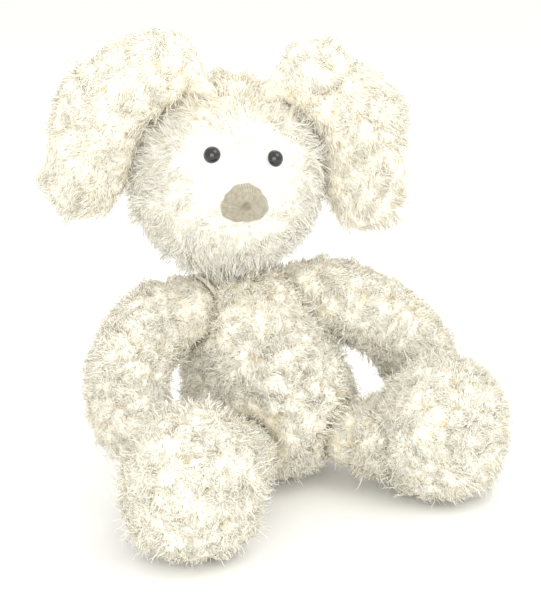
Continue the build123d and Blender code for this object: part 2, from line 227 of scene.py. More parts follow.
@dataclass
class StuffedForm:
    """A padded skin blown up from CAD nodes, which the pile grows on.

    Attributes:
        name: The finished piece's name.
        nodes: The CAD nodes whose outer shape it starts from.
        voxel: Edge length of the first remesh.
        inset: How far the start shape is moved in.
        pressure: Pressure of the filling in the simulation.
        cap: The furthest that the simulation may move a point.
        cover: The skin's least and greatest height over the nodes' surface, or None.
    """

    name: str
    nodes: Sequence[str]
    voxel: float = 0.0048
    inset: float = 0.0005
    pressure: float = 3.0
    cap: float = 0.0035
    cover: Optional[Tuple[float, float]] = (0.0012, 0.0024)

    def build(self) -> bpy.types.Object:
        """Copies, remeshes, inflates and subdivides the form.

        Returns:
            The stuffed form as a closed mesh.
        """
        piece = self._copied()
        self._remeshed(piece)
        places = vertex_places(piece.data)
        set_places(piece.data, places - vertex_normals(piece.data) * self.inset)
        self._inflated(piece)
        smooth = piece.modifiers.new("even", "SMOOTH")
        smooth.iterations = 2
        finer = piece.modifiers.new("finer", "SUBSURF")
        finer.levels = 1
        finer.render_levels = 1
        apply_modifiers(piece)
        self._cover_filling(piece)
        self._rest_on_floor(piece)
        return piece

    def _copied(self) -> bpy.types.Object:
        """One object that holds a merged copy of the nodes' meshes."""
        shape = bmesh.new()
        for node in self.nodes:
            shape.from_mesh(frame["nodes"][node].data)
        bmesh.ops.remove_doubles(shape, verts=shape.verts, dist=1e-5)
        mesh = bpy.data.meshes.new(self.name)
        shape.to_mesh(mesh)
        shape.free()
        piece = bpy.data.objects.new(self.name, mesh)
        bpy.context.collection.objects.link(piece)
        return piece

    def _remeshed(self, piece: bpy.types.Object) -> None:
        """Gives the copy even faces and keeps only its outside."""
        select_only(piece)
        remesh = piece.modifiers.new("voxels", "REMESH")
        remesh.mode = "VOXEL"
        remesh.voxel_size = self.voxel
        smooth = piece.modifiers.new("soften", "SMOOTH")
        smooth.iterations = 4
        apply_modifiers(piece)
        keep_outer_shell(piece)

    def _inflated(self, piece: bpy.types.Object) -> None:
        """Blows the form up with a cloth simulation, each point held within the cap."""
        before = vertex_places(piece.data)
        cloth = piece.modifiers.new("stuffing", "CLOTH")
        cloth.settings.use_pressure = True
        cloth.settings.uniform_pressure_force = self.pressure
        cloth.settings.effector_weights.gravity = 0.0
        cloth.settings.quality = 4
        cloth.point_cache.frame_start = 1
        cloth.point_cache.frame_end = 16
        scene = bpy.context.scene
        for step in range(1, 17):
            scene.frame_set(step)
        apply_modifiers(piece)
        scene.frame_set(1)
        moved = vertex_places(piece.data) - before
        size = np.linalg.norm(moved, axis=1, keepdims=True)
        moved *= np.minimum(1.0, self.cap / np.maximum(size, 1e-9))
        set_places(piece.data, before + np.nan_to_num(moved))

    def _cover_filling(self, piece: bpy.types.Object) -> None:
        """Keeps the skin between its least and its greatest height over its one filling."""
        if self.cover is None:
            return
        least, most = self.cover
        shape = bmesh.new()
        shape.from_mesh(frame["nodes"][self.nodes[0]].data)
        tree = BVHTree.FromBMesh(shape)
        shape.free()
        places = vertex_places(piece.data)
        for index, place in enumerate(places):
            spot, normal, _, _ = tree.find_nearest(Vector(place))
            over = (Vector(place) - spot).dot(normal)
            if over < least:
                places[index] = place + np.array(normal) * (least - over)
            elif over > most:
                places[index] = place - np.array(normal) * (over - most)
        set_places(piece.data, places)

    def _rest_on_floor(self, piece: bpy.types.Object) -> None:
        """Keeps the form on the surface that the toy sits on."""
        places = vertex_places(piece.data)
        places[:, 2] = np.maximum(places[:, 2], FLOOR_GAP)
        set_places(piece.data, places)


# ---------------------------------------------------------------- pile


@dataclass(frozen=True)
class Nap:
    """How one cut of pile fabric grows.

    Attributes:
        length: Mean length of a strand.
        tuft: Spacing of the tufts.
        density: Strands on a square centimetre.
        width: Width of a strand.
        lean: How far strands follow the comb, 0 upright to 1 flat.
        hook: How far a strand rolls over sideways from root to tip, in radians.
        curl: Radius of the small waves in a strand.
        turns: Turns of these waves along a strand.
        clump: How far strands gather towards their tuft's middle, 0 to 1.
        droop: How far strands fall, as a share of their length.
        lift: Height of the underpile's tufts.
        rings: Rings of vertices along a strand, the point at its tip left out.
    """

    length: float
    tuft: float
    density: float
    width: float
    lean: float
    hook: float
    curl: float
    turns: float
    clump: float
    droop: float
    lift: float
    rings: int = 4


CURLY = Nap(
    length=0.0092,
    tuft=0.0092,
    density=29.0,
    width=0.00056,
    lean=0.10,
    hook=2.6,
    curl=0.0013,
    turns=1.3,
    clump=0.25,
    droop=0.02,
    lift=0.0052,
)
SILKY = Nap(
    length=0.0112,
    tuft=0.0098,
    density=29.0,
    width=0.00056,
    lean=0.40,
    hook=2.2,
    curl=0.0014,
    turns=1.1,
    clump=0.25,
    droop=0.06,
    lift=0.0044,
)
SHORT = Nap(
    length=0.0070,
    tuft=0.0085,
    density=44.0,
    width=0.00050,
    lean=0.50,
    hook=1.9,
    curl=0.0006,
    turns=1.0,
    clump=0.12,
    droop=0.03,
    lift=0.0020,
    rings=3,
)


@dataclass
class Scatter:
    """Points on a surface, with their normals."""

    places: Array
    normals: Array


class Surface:
    """A triangle surface that points can be scattered on."""

    def __init__(self, mesh: bpy.types.Mesh) -> None:
        """Reads a mesh's triangles, areas and normals."""
        self.places = vertex_places(mesh)
        self.normals = vertex_normals(mesh)
        self.triangles = triangles_of(mesh)
        a, b, c = (self.places[self.triangles[:, k]] for k in range(3))
        self.areas = np.linalg.norm(np.cross(b - a, c - a), axis=1) / 2.0

    def area(self) -> float:
        """The whole area in square metres."""
        return float(self.areas.sum())

    def scatter(self, count: int, rng: np.random.Generator) -> Scatter:
        """Scatters points evenly over the surface.

        Args:
            count: How many points.
            rng: A seeded generator.

        Returns:
            The points with their normals.
        """
        chosen = rng.choice(len(self.areas), count, p=self.areas / self.areas.sum())
        u, v = rng.random((2, count))
        over = u + v > 1.0
        u[over], v[over] = 1.0 - u[over], 1.0 - v[over]
        shares = np.stack([1.0 - u - v, u, v], axis=1)[:, :, None]
        corners = self.triangles[chosen]
        places = (self.places[corners] * shares).sum(1)
        normals = unit((self.normals[corners] * shares).sum(1))
        return Scatter(places, normals)


def spaced(points: Scatter, spacing: float, area: float) -> Scatter:
    """Picks points that lie as far apart as they can, about one for each tuft.

    Args:
        points: Points to pick from.
        spacing: The wanted distance between neighbours.
        area: The surface's area.

    Returns:
        The picked points.
    """
    count = min(len(points.places), max(4, int(area / (0.80 * spacing**2))))
    picked = np.zeros(count, int)
    nearest = np.full(len(points.places), np.inf)
    for k in range(1, count):
        apart = ((points.places - points.places[picked[k - 1]]) ** 2).sum(1)
        nearest = np.minimum(nearest, apart)
        picked[k] = int(nearest.argmax())
    return Scatter(points.places[picked], points.normals[picked])


def nearest_tuft(places: Array, tufts: Array) -> Tuple[Array, Array]:
    """For each place, the number of its nearest tuft and how far away that is."""
    index = np.empty(len(places), int)
    apart = np.empty(len(places))
    step = 4096
    for start in range(0, len(places), step):
        part = places[start : start + step]
        square = ((part[:, None, :] - tufts[None, :, :]) ** 2).sum(2)
        index[start : start + step] = square.argmin(1)
        apart[start : start + step] = np.sqrt(square.min(1))
    return index, apart


@dataclass
class Fleece:
    """Pile on one stuffed form.

    Attributes:
        form: The stuffed form.
        nap: How its pile grows.
        comb: Gives each place the direction in which its pile is combed.
        seed: Seeds every random draw of this pile.
        reach: Gives each place a share of the nap's length, 0 for no pile.
        shade: Gives each place its painted shade, from 0, pale, to 1, tan.
    """

    form: bpy.types.Object
    nap: Nap
    comb: Comb
    seed: int
    reach: Callable[[Array, Array], Array] = lambda places, normals: np.ones(len(places))
    shade: Callable[[Array], Array] = lambda places: np.zeros(len(places))
    tufts: Scatter = field(init=False)
    rng: np.random.Generator = field(init=False)

    def __post_init__(self) -> None:
        """Places the tufts."""
        self.rng = np.random.default_rng(self.seed)
        surface = Surface(self.form.data)
        count = int(surface.area() / self.nap.tuft**2 * 7)
        candidates = surface.scatter(count, self.rng)
        self.tufts = spaced(candidates, self.nap.tuft, surface.area())

    def raise_underpile(self) -> None:
        """Subdivides the form and raises its surface into tufts with creases between them."""
        finer = self.form.modifiers.new("finer", "SUBSURF")
        finer.levels = 1
        finer.render_levels = 1
        apply_modifiers(self.form)
        mesh = self.form.data
        places, normals = vertex_places(mesh), vertex_normals(mesh)
        _, apart = nearest_tuft(places, self.tufts.places)
        dome = np.clip(1.0 - (apart / (0.66 * self.nap.tuft)) ** 2, 0.0, 1.0)
        rise = np.sqrt(dome)
        share = self.reach(places, normals)[:, None]
        places = places + normals * (rise * self.nap.lift)[:, None] * np.minimum(share, 1.0)
        places[:, 2] = np.maximum(places[:, 2], FLOOR_GAP)
        set_places(mesh, places)
        mesh.polygons.foreach_set("use_smooth", np.ones(len(mesh.polygons), bool))
        # Painted shade key: the tufts' height less the part's painted shade; low values are coloured tan.
        layer = mesh.attributes.new("tuft_height_and_painted_shade", "FLOAT", "POINT")
        tone = np.clip(rise - 0.6 * self.shade(places), 0.0, 1.0)
        layer.data.foreach_set("value", tone.astype(np.float32))

    def grow(self, name: str, cut: Cut = Cut.WHOLE) -> bpy.types.Object:
        """Grows the pile as closed, tapered and curled strands.

        Args:
            name: The new piece's name.
            cut: Which part of the form carries it, front or back of its middle.

        Returns:
            The pile as one mesh.
        """
        surface = Surface(self.form.data)
        count = int(surface.area() * 1e4 * self.nap.density)
        roots = surface.scatter(count, self.rng)
        share = self.reach(roots.places, roots.normals)
        kept = share > 0.05
        if cut is not Cut.WHOLE:
            centre = self.form.data.vertices
            middle = np.array([v.co[1] for v in centre]).mean()
            front = roots.places[:, 1] < middle
            kept &= front if cut is Cut.FRONT else ~front
        places, normals, share = roots.places[kept], roots.normals[kept], share[kept]
        points, across, tone = self._strands(places, normals, share)
        low, high = (np.array(corner, float) for corner in CAD_BOX)
        within = (points > low - MOST_PROUD) & (points < high + MOST_PROUD)
        inside = within.all(axis=(1, 2))
        points, across, tone = points[inside], across[inside], tone[inside]
        return self._strand_mesh(name, points, across, tone)

    def _strands(self, roots: Array, normals: Array, share: Array) -> Tuple[Array, Array, Array]:
        """Lays out each strand's middle line.

        Args:
            roots: Where the strands start.
            normals: The skin's normals there.
            share: Each strand's share of the nap's length.

        Returns:
            The lines' points, two directions across each line, and each strand's tone, random with painted shade.
        """
        nap, rng = self.nap, self.rng
        count = len(roots)
        tuft, apart = nearest_tuft(roots, self.tufts.places)
        tuft_jitter = rng.normal(0.0, 0.26, (len(self.tufts.places), 3))
        tuft_phase = rng.uniform(0.0, 2.0 * math.pi, len(self.tufts.places))
        tuft_sense = np.where(rng.random(len(self.tufts.places)) < 0.5, -1.0, 1.0)
        tuft_size = rng.uniform(0.80, 1.22, len(self.tufts.places))
        flow = self.comb(self.tufts.places, self.tufts.normals)
        flow = unit(flow - self.tufts.normals * (flow * self.tufts.normals).sum(1)[:, None])
        heading = self.tufts.normals * (1.0 - nap.lean) + flow * nap.lean + tuft_jitter * 0.6
        heading_of = unit(heading)
        heading = heading_of[tuft]
        own = unit(0.55 * heading + 0.45 * normals * (1 - nap.lean) + 0.45 * nap.lean * flow[tuft])
        own = unit(own + rng.normal(0.0, 0.12, (count, 3)))
        length = nap.length * share * tuft_size[tuft] * rng.uniform(0.72, 1.15, count)
        stray = rng.random(count) < 0.05
        length = np.where(stray, length * 1.25, length)
        clump = nap.clump * np.where(stray, 0.2, 1.0) * rng.uniform(0.6, 1.1, count)
        side = unit(np.cross(own, rng.normal(0.0, 1.0, (count, 3))))
        other = np.cross(own, side)
        spin = rng.normal(0.0, 1.0, (len(self.tufts.places), 3)) + 0.9 * nap.lean * flow
        spin = spin - heading_of * (spin * heading_of).sum(1)[:, None]
        roll = unit(unit(spin)[tuft] + rng.normal(0.0, 0.25, (count, 3)))
        hook = nap.hook * np.where(stray, 0.35, 1.0) * rng.uniform(0.65, 1.25, count)
        lock_side = unit(np.cross(heading, self.tufts.normals[tuft] + 0.31))
        lock_other = np.cross(heading, lock_side)
        steps = np.linspace(0.0, 1.0, nap.rings + 1)
        phase = tuft_phase[tuft] + rng.normal(0.0, 0.5, count)
        middle = self.tufts.places[tuft]
        points = np.empty((count, len(steps), 3))
        for k, t in enumerate(steps):
            ahead = (length * np.sin(hook * t) / hook)[:, None]
            over = (length * (1.0 - np.cos(hook * t)) / hook)[:, None]
            line = roots + own * ahead + roll * over
            lock = middle + heading * ahead + roll * over
            pull = (clump * t**1.2)[:, None]
            spot = line * (1.0 - pull) + lock * pull
            turn = phase + tuft_sense[tuft] * 2.0 * math.pi * nap.turns * t
            radius = (nap.curl * t**0.8 * np.minimum(share, 1.0))[:, None]
            wave = np.cos(turn)[:, None] * lock_side + np.sin(turn)[:, None] * lock_other
            spot = spot + radius * wave
            spot[:, 2] -= nap.droop * length * t * t
            points[:, k] = spot
        floor = FLOOR_GAP + 0.0012 * rng.random((count, 1)) * steps[None, :]
        points[:, :, 2] = np.maximum(points[:, :, 2], floor)
        # Each strand's tone: random for its tuft and for itself, plus the painted shade of its place.
        tone = 0.42 * rng.random(len(self.tufts.places))[tuft] + 0.34 * rng.random(count)
        tone = np.clip(tone + 0.55 * self.shade(roots), 0.01, 0.98)
        return points, np.stack([side, other], axis=1), tone

    def _strand_mesh(
        self, name: str, points: Array, across: Array, tone: Array
    ) -> bpy.types.Object:
        """Skins the strands' lines with closed three-sided needles.

        Args:
            name: The new piece's name.
            points: Each strand's line.
            across: Two directions across each line.
            tone: Each strand's tone, random with painted shade, kept as U of the pile's map, with V along the
                strand.

        Returns:
            The pile's mesh object.
        """
        count, rings = len(points), points.shape[1] - 1
        taper = np.array([0.75, 1.0, 0.9, 0.62, 0.4][:rings])
        turns = 2.0 * math.pi * np.arange(3) / 3.0
        wide = self.nap.width / 2.0
        round_ring = (
            np.cos(turns)[None, :, None] * across[:, None, 0]
            + np.sin(turns)[None, :, None] * across[:, None, 1]
        )
        body = points[:, :rings, None, :] + round_ring[:, None] * (taper * wide)[None, :, None, None]
        per = rings * 3 + 1
        places = np.empty((count, per, 3))
        places[:, :-1] = body.reshape(count, rings * 3, 3)
        places[:, -1] = points[:, -1]
        places[:, :, 2] = np.maximum(places[:, :, 2], 0.0002)
        pattern = [(2, 1, 0)]
        for k in range(rings - 1):
            for j in range(3):
                a, b = 3 * k + j, 3 * k + (j + 1) % 3
                pattern += [(a, b, b + 3), (a, b + 3, a + 3)]
        last = 3 * (rings - 1)
        pattern += [(last + j, last + (j + 1) % 3, per - 1) for j in range(3)]
        triangles = np.array(pattern)[None] + (np.arange(count) * per)[:, None, None]
        triangles = triangles.reshape(-1, 3)
        piece = triangle_mesh(name, places.reshape(-1, 3), triangles)
        along = np.append(np.repeat(np.arange(rings), 3) / rings, 1.0)
        offset = np.append(np.tile([0.0, 0.003, 0.006], rings), 0.003)
        spots = np.empty((count, per, 2))
        spots[:, :, 0] = tone[:, None] + offset[None]
        spots[:, :, 1] = 0.01 + 0.98 * along[None]
        layer = piece.data.uv_layers.new(name=PILE_MAP)
        corner = spots.reshape(-1, 2)[triangles.ravel()]
        layer.uv.foreach_set("vector", corner.astype(np.float32).ravel())
        return piece


# ---------------------------------------------------------------- finishes


def new_material(name: str) -> Tuple[bpy.types.Material, bpy.types.NodeTree, bpy.types.Node]:
    """A material with only a Principled shader and its output."""
    material = bpy.data.materials.new(name)
    material.use_nodes = True
    tree = material.node_tree
    return material, tree, tree.nodes["Principled BSDF"]


def ramp(tree: bpy.types.NodeTree, stops: Sequence[Tuple[float, Colour]]) -> bpy.types.Node:
    """A colour ramp with the given stops."""
    node = tree.nodes.new("ShaderNodeValToRGB")
    elements = node.color_ramp.elements
    while len(elements) < len(stops):
        elements.new(0.5)
    for element, (place, colour) in zip(elements, stops):
        element.position = place
        element.color = (*colour, 1.0)
    return node


def mottle_group() -> bpy.types.NodeTree:
    """The shared effect of uneven wool: a soft mask over the surface, built once.

    Returns:
        A node group with the inputs Scale and Detail and the output Mask.
    """
    found = bpy.data.node_groups.get("wool_mottle")
    if found:
        return found
    group = bpy.data.node_groups.new("wool_mottle", "ShaderNodeTree")
    scale = group.interface.new_socket("Scale", in_out="INPUT", socket_type="NodeSocketFloat")
    scale.default_value = 120.0
    detail = group.interface.new_socket("Detail", in_out="INPUT", socket_type="NodeSocketFloat")
    detail.default_value = 3.0
    group.interface.new_socket("Mask", in_out="OUTPUT", socket_type="NodeSocketFloat")
    start = group.nodes.new("NodeGroupInput")
    end = group.nodes.new("NodeGroupOutput")
    place = group.nodes.new("ShaderNodeTexCoord")
    noise = group.nodes.new("ShaderNodeTexNoise")
    group.links.new(place.outputs["Object"], noise.inputs["Vector"])
    group.links.new(start.outputs["Scale"], noise.inputs["Scale"])
    group.links.new(start.outputs["Detail"], noise.inputs["Detail"])
    group.links.new(noise.outputs["Fac"], end.inputs["Mask"])
    return group


def mottle(tree: bpy.types.NodeTree, scale: float, detail: float) -> bpy.types.Node:
    """Places the shared mottle group with its own values."""
    node = tree.nodes.new("ShaderNodeGroup")
    node.node_tree = mottle_group()
    node.inputs["Scale"].default_value = scale
    node.inputs["Detail"].default_value = detail
    return node


def mixed(
    tree: bpy.types.NodeTree,
    factor: bpy.types.NodeSocket,
    a: bpy.types.NodeSocket,
    b: bpy.types.NodeSocket,
) -> bpy.types.NodeSocket:
    """A colour mix of a and b by factor."""
    node = tree.nodes.new("ShaderNodeMix")
    node.data_type = "RGBA"
    tree.links.new(factor, node.inputs[0])
    tree.links.new(a, node.inputs[6])
    tree.links.new(b, node.inputs[7])
    return node.outputs[2]


@dataclass(frozen=True)
class Relief:
    """A colour that follows the height of tufts or threads as painted shade, darker in the low places, and wears
    unevenly.

    Attributes:
        height: The attribute that holds the height, which keys the painted shade.
        deep: Height that is still fully the low colour.
        full: Height that is fully the high colour.
        worn_deep: Noise that is still fully the low colour.
        worn_full: Noise that is fully the high colour.
        scale: Scale of the uneven wear.
        wear: Share of the uneven wear in the colour.
    """

    height: str
    deep: float
    full: float
    worn_deep: float
    worn_full: float
    scale: float
    wear: float

    def colour(self, tree: bpy.types.NodeTree, low: Colour, high: Colour) -> bpy.types.NodeSocket:
        """Builds the nodes and gives the socket that holds the colour."""
        height = tree.nodes.new("ShaderNodeAttribute")
        height.attribute_name = self.height
        # Painted shade: the low places take the low, darker colour.
        raised = ramp(tree, [(self.deep, low), (self.full, high)])
        tree.links.new(height.outputs["Fac"], raised.inputs[0])
        worn = ramp(tree, [(self.worn_deep, low), (self.worn_full, high)])
        wool = mottle(tree, self.scale, 4.0)
        tree.links.new(wool.outputs["Mask"], worn.inputs[0])
        blend = tree.nodes.new("ShaderNodeMix")
        blend.data_type = "RGBA"
        blend.inputs[0].default_value = self.wear
        tree.links.new(raised.outputs[0], blend.inputs[6])
        tree.links.new(worn.outputs[0], blend.inputs[7])
        return blend.outputs[2]


@dataclass(frozen=True)
class PileFinish:
    """Strands of wool-like pile, cream to white at the tip, with painted shade in tan at the root, deep in the
    pile.

    Attributes:
        name: The material's name.
        root: Colour at a pale strand's root, painted shade deep in the pile.
        tip: Colour at a pale strand's tip.
        tan_root: Colour at a tan strand's root, painted shade deep in the pile.
        tan_tip: Colour at a tan strand's tip.
    """

    name: str
    root: Colour = (0.95, 0.90, 0.75)
    tip: Colour = (0.975, 0.955, 0.865)
    tan_root: Colour = (0.92, 0.84, 0.65)
    tan_tip: Colour = (0.97, 0.945, 0.84)

    def build(self) -> bpy.types.Material:
        """The strands' material, which reads only the pile's own map."""
        material, tree, shader = new_material(self.name)
        place = tree.nodes.new("ShaderNodeUVMap")
        place.uv_map = PILE_MAP
        parts = tree.nodes.new("ShaderNodeSeparateXYZ")
        tree.links.new(place.outputs["UV"], parts.inputs[0])
        # U is each strand's tone, random with painted shade: it mixes the pale and the tan ramp.
        amount = tree.nodes.new("ShaderNodeMapRange")
        amount.inputs["From Min"].default_value = 0.15
        amount.inputs["From Max"].default_value = 1.0
        tree.links.new(parts.outputs["X"], amount.inputs["Value"])
        half = tuple(0.35 * a + 0.65 * b for a, b in zip(self.root, self.tip))
        half_tan = tuple(0.4 * a + 0.6 * b for a, b in zip(self.tan_root, self.tan_tip))
        # Along V, painted shade: tan at the root, cream to white at the tip.
        pale = ramp(tree, [(0.05, self.root), (0.40, half), (0.85, self.tip)])
        tan = ramp(tree, [(0.05, self.tan_root), (0.50, half_tan), (0.95, self.tan_tip)])
        tree.links.new(parts.outputs["Y"], pale.inputs[0])
        tree.links.new(parts.outputs["Y"], tan.inputs[0])
        colour = mixed(tree, amount.outputs["Result"], pale.outputs[0], tan.outputs[0])
        tree.links.new(colour, shader.inputs["Base Color"])
        shader.inputs["Roughness"].default_value = 0.8
        shader.inputs["Specular IOR Level"].default_value = 0.15
        shader.inputs["Sheen Weight"].default_value = 0.15
        shader.inputs["Sheen Roughness"].default_value = 0.6
        return material


@dataclass(frozen=True)
class UnderpileFinish:
    """The dense underpile: cream on the tufts' tops, and painted shade in tan in the creases between them."""

    name: str
    shaded_crease: Colour = (0.90, 0.81, 0.60)
    top: Colour = (0.97, 0.95, 0.86)

    def build(self) -> bpy.types.Material:
        """The underpile's material, with painted shade by the height of its tufts, and a fine woolly bump."""
        material, tree, shader = new_material(self.name)
        relief = Relief("tuft_height_and_painted_shade", 0.05, 0.75, 0.25, 0.70, 160.0, 0.15)
        tree.links.new(relief.colour(tree, self.shaded_crease, self.top), shader.inputs["Base Color"])
        fibres = mottle(tree, 900.0, 3.0)
        bump = tree.nodes.new("ShaderNodeBump")
        bump.inputs["Strength"].default_value = 0.8
        bump.inputs["Distance"].default_value = 0.0012
        tree.links.new(fibres.outputs["Mask"], bump.inputs["Height"])
        tree.links.new(bump.outputs["Normal"], shader.inputs["Normal"])
        shader.inputs["Roughness"].default_value = 0.95
        shader.inputs["Sheen Weight"].default_value = 0.4
        return material


@dataclass(frozen=True)
class EyeFinish:
    """Polished black plastic with faint handling marks."""

    name: str = "eye_black"

    def build(self) -> bpy.types.Material:
        """The beads' material."""
        material, tree, shader = new_material(self.name)
        marks = mottle(tree, 700.0, 6.0)
        tone = ramp(tree, [(0.35, (0.004, 0.0035, 0.003)), (0.75, (0.012, 0.010, 0.009))])
        gloss = ramp(tree, [(0.40, (0.06, 0.06, 0.06)), (0.80, (0.16, 0.16, 0.16))])
        tree.links.new(marks.outputs["Mask"], tone.inputs[0])
        tree.links.new(marks.outputs["Mask"], gloss.inputs[0])
        tree.links.new(tone.outputs[0], shader.inputs["Base Color"])
        tree.links.new(gloss.outputs[0], shader.inputs["Roughness"])
        shader.inputs["Coat Weight"].default_value = 0.6
        shader.inputs["Coat Roughness"].default_value = 0.03
        return material


@dataclass(frozen=True)
class ThreadFinish:
    """Satin embroidery thread laid side by side.

    Attributes:
        name: The material's name.
        deep: Colour between threads, painted shade in the grooves.
        high: Colour on a thread.
    """

    name: str
    deep: Colour
    high: Colour

    def build(self) -> bpy.types.Material:
        """The thread's material, with painted shade darker in its grooves where the piece gives their height."""
        material, tree, shader = new_material(self.name)
        relief = Relief("thread_height", 0.0, 0.8, 0.35, 0.62, 420.0, 0.4)
        tree.links.new(relief.colour(tree, self.deep, self.high), shader.inputs["Base Color"])
        shader.inputs["Roughness"].default_value = 0.6
        shader.inputs["Sheen Weight"].default_value = 0.5
        return material


@dataclass(frozen=True)
class PlainFinish:
    """A hidden inner material with a little unevenness: filling, bag cloth, thread or plastic."""

    name: str
    low: Colour
    high: Colour
    roughness: float

    def build(self) -> bpy.types.Material:
        """The inner piece's material."""
        material, tree, shader = new_material(self.name)
        wool = mottle(tree, 300.0, 5.0)
        tone = ramp(tree, [(0.3, self.low), (0.7, self.high)])
        tree.links.new(wool.outputs["Mask"], tone.inputs[0])
        tree.links.new(tone.outputs[0], shader.inputs["Base Color"])
        shader.inputs["Roughness"].default_value = self.roughness
        return material


@dataclass
class Palette:
    """Every finish of the toy, built once."""

    pile: bpy.types.Material = field(init=False)
    face_pile: bpy.types.Material = field(init=False)
    ear_pile: bpy.types.Material = field(init=False)
    underpile: bpy.types.Material = field(init=False)
    face_underpile: bpy.types.Material = field(init=False)
    eye: bpy.types.Material = field(init=False)
    nose: bpy.types.Material = field(init=False)

    def __post_init__(self) -> None:
        """Builds the materials."""
        self.pile = PileFinish("curly_pile").build()
        white = (0.985, 0.975, 0.915)
        # The pile roots' tan is painted shade deep in the pile.
        self.face_pile = PileFinish("face_pile", root=(0.96, 0.925, 0.81), tip=white).build()
        self.ear_pile = PileFinish("ear_pile", root=(0.94, 0.88, 0.72)).build()
        self.underpile = UnderpileFinish("underpile").build()
        # The underpile's tan in the creases is painted shade.
        soft = UnderpileFinish("face_underpile", shaded_crease=(0.90, 0.83, 0.67), top=(0.98, 0.965, 0.90))
        self.face_underpile = soft.build()
        self.eye = EyeFinish().build()
        # The nose's first colour is painted shade between the threads.
        self.nose = ThreadFinish("nose_thread", (0.17, 0.145, 0.10), (0.43, 0.39, 0.29)).build()


def dress(piece: bpy.types.Object, material: bpy.types.Material) -> None:
    """Gives a piece one material."""
    piece.data.materials.clear()
    piece.data.materials.append(material)


# ---------------------------------------------------------------- sub-assemblies


@dataclass
class SoftPart:
    """A stuffed part: its skin, underpile and pile, on one body.

    Attributes:
        name: The part's name.
        body: The body it moves with.
        filling: CAD nodes that give the form its shape.
        stands_for: CAD nodes that the skin replaces.
        nap: How the pile grows.
        seed: Seeds the part's random draws.
        slot: The record's material slot; not used.
        halves: Grow the pile as a front and a back piece.
        fill: How tightly the part is stuffed; not used.
    """

    name: str
    body: str
    filling: Sequence[str]
    stands_for: Sequence[str]
    nap: Nap
    seed: int
    slot: str = "body_pile"
    halves: bool = False
    fill: float = 0.8
    inset: float = 0.0005
    cover: Optional[Tuple[float, float]] = (0.0012, 0.0024)

    def comb(self, places: Array, normals: Array) -> Array:
        """Pile falls down unless a part says otherwise."""
        return np.tile([0.0, 0.0, -1.0], (len(places), 1))

    def reach(self, places: Array, normals: Array) -> Array:
        """The pile is of even length unless a part says otherwise."""
        return np.ones(len(places))

    def shade(self, places: Array) -> Array:
        """No painted shade unless a part says otherwise: the pile is pale."""
        return np.zeros(len(places))

    def finishes(self, palette: Palette) -> Tuple[bpy.types.Material, bpy.types.Material]:
        """The underpile's and the pile's materials."""
        return palette.underpile, palette.pile

    def build(self, palette: Palette) -> None:
        """Makes the skin and its pile, and ties them to the body."""
        form = StuffedForm(
            f"{self.name}_skin", self.filling, inset=self.inset, cover=self.cover
        ).build()
        fleece = Fleece(form, self.nap, self.comb, self.seed, self.reach, self.shade)
        fleece.raise_underpile()
        under, over = self.finishes(palette)
        dress(form, under)
        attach(form, self.body)
        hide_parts(*self.stands_for)
        cuts = (Cut.FRONT, Cut.BACK) if self.halves else (Cut.WHOLE,)
        for cut in cuts:
            name = f"{self.name}_pile" if cut is Cut.WHOLE else f"{self.name}_pile_{cut.value}"
            pile = fleece.grow(name, cut)
            dress(pile, over)
            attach(pile, self.body)
            count = len(pile.data.polygons)
            LOG.info("%s: %d faces", name, count)
        LOG.info("%s: %d faces", form.name, len(form.data.polygons))


def towards(places: Array, target: Array) -> Array:
    """How far each place is from a point."""
    return np.linalg.norm(places - target, axis=1)


@dataclass
class Trunk(SoftPart):
    """The body."""

    def comb(self, places: Array, normals: Array) -> Array:
        """Down, in loose waves from side to side."""
        flow = np.tile([0.0, 0.0, -1.0], (len(places), 1))
        wave = np.sin(places[:, 2] * 260.0 + places[:, 0] * 140.0)
        flow[:, 0] += 0.55 * wave
        flow[:, 1] += 0.35 * np.cos(places[:, 2] * 210.0)
        return flow

    def reach(self, places: Array, normals: Array) -> Array:
        """No pile inside the neck, and short pile where the limbs sit."""
        share = 0.15 + 0.85 * smooth_step(places[:, 2], 0.0, 0.02)
        for side in SIDES:
            for joint, radius in ((f"{side}_arm_swing", 0.0215), (f"{side}_leg_turn", 0.0235)):
                near = towards(places, joint_place(joint))
                share *= 0.25 + 0.75 * smooth_step(near, radius - 0.002, radius + 0.006)
        share *= smooth_step(-places[:, 2], -0.136, -0.126)
        return share

    def shade(self, places: Array) -> Array:
        """Painted shade: tan under the chin and beside the limbs."""
        tone = 0.7 * smooth_step(places[:, 2], 0.092, 0.128)
        for side in SIDES:
            for joint, radius in ((f"{side}_arm_swing", 0.034), (f"{side}_leg_turn", 0.040)):
                near = towards(places, joint_place(joint))
                tone = np.maximum(tone, 0.9 * (1.0 - smooth_step(near, 0.020, radius)))
        return tone


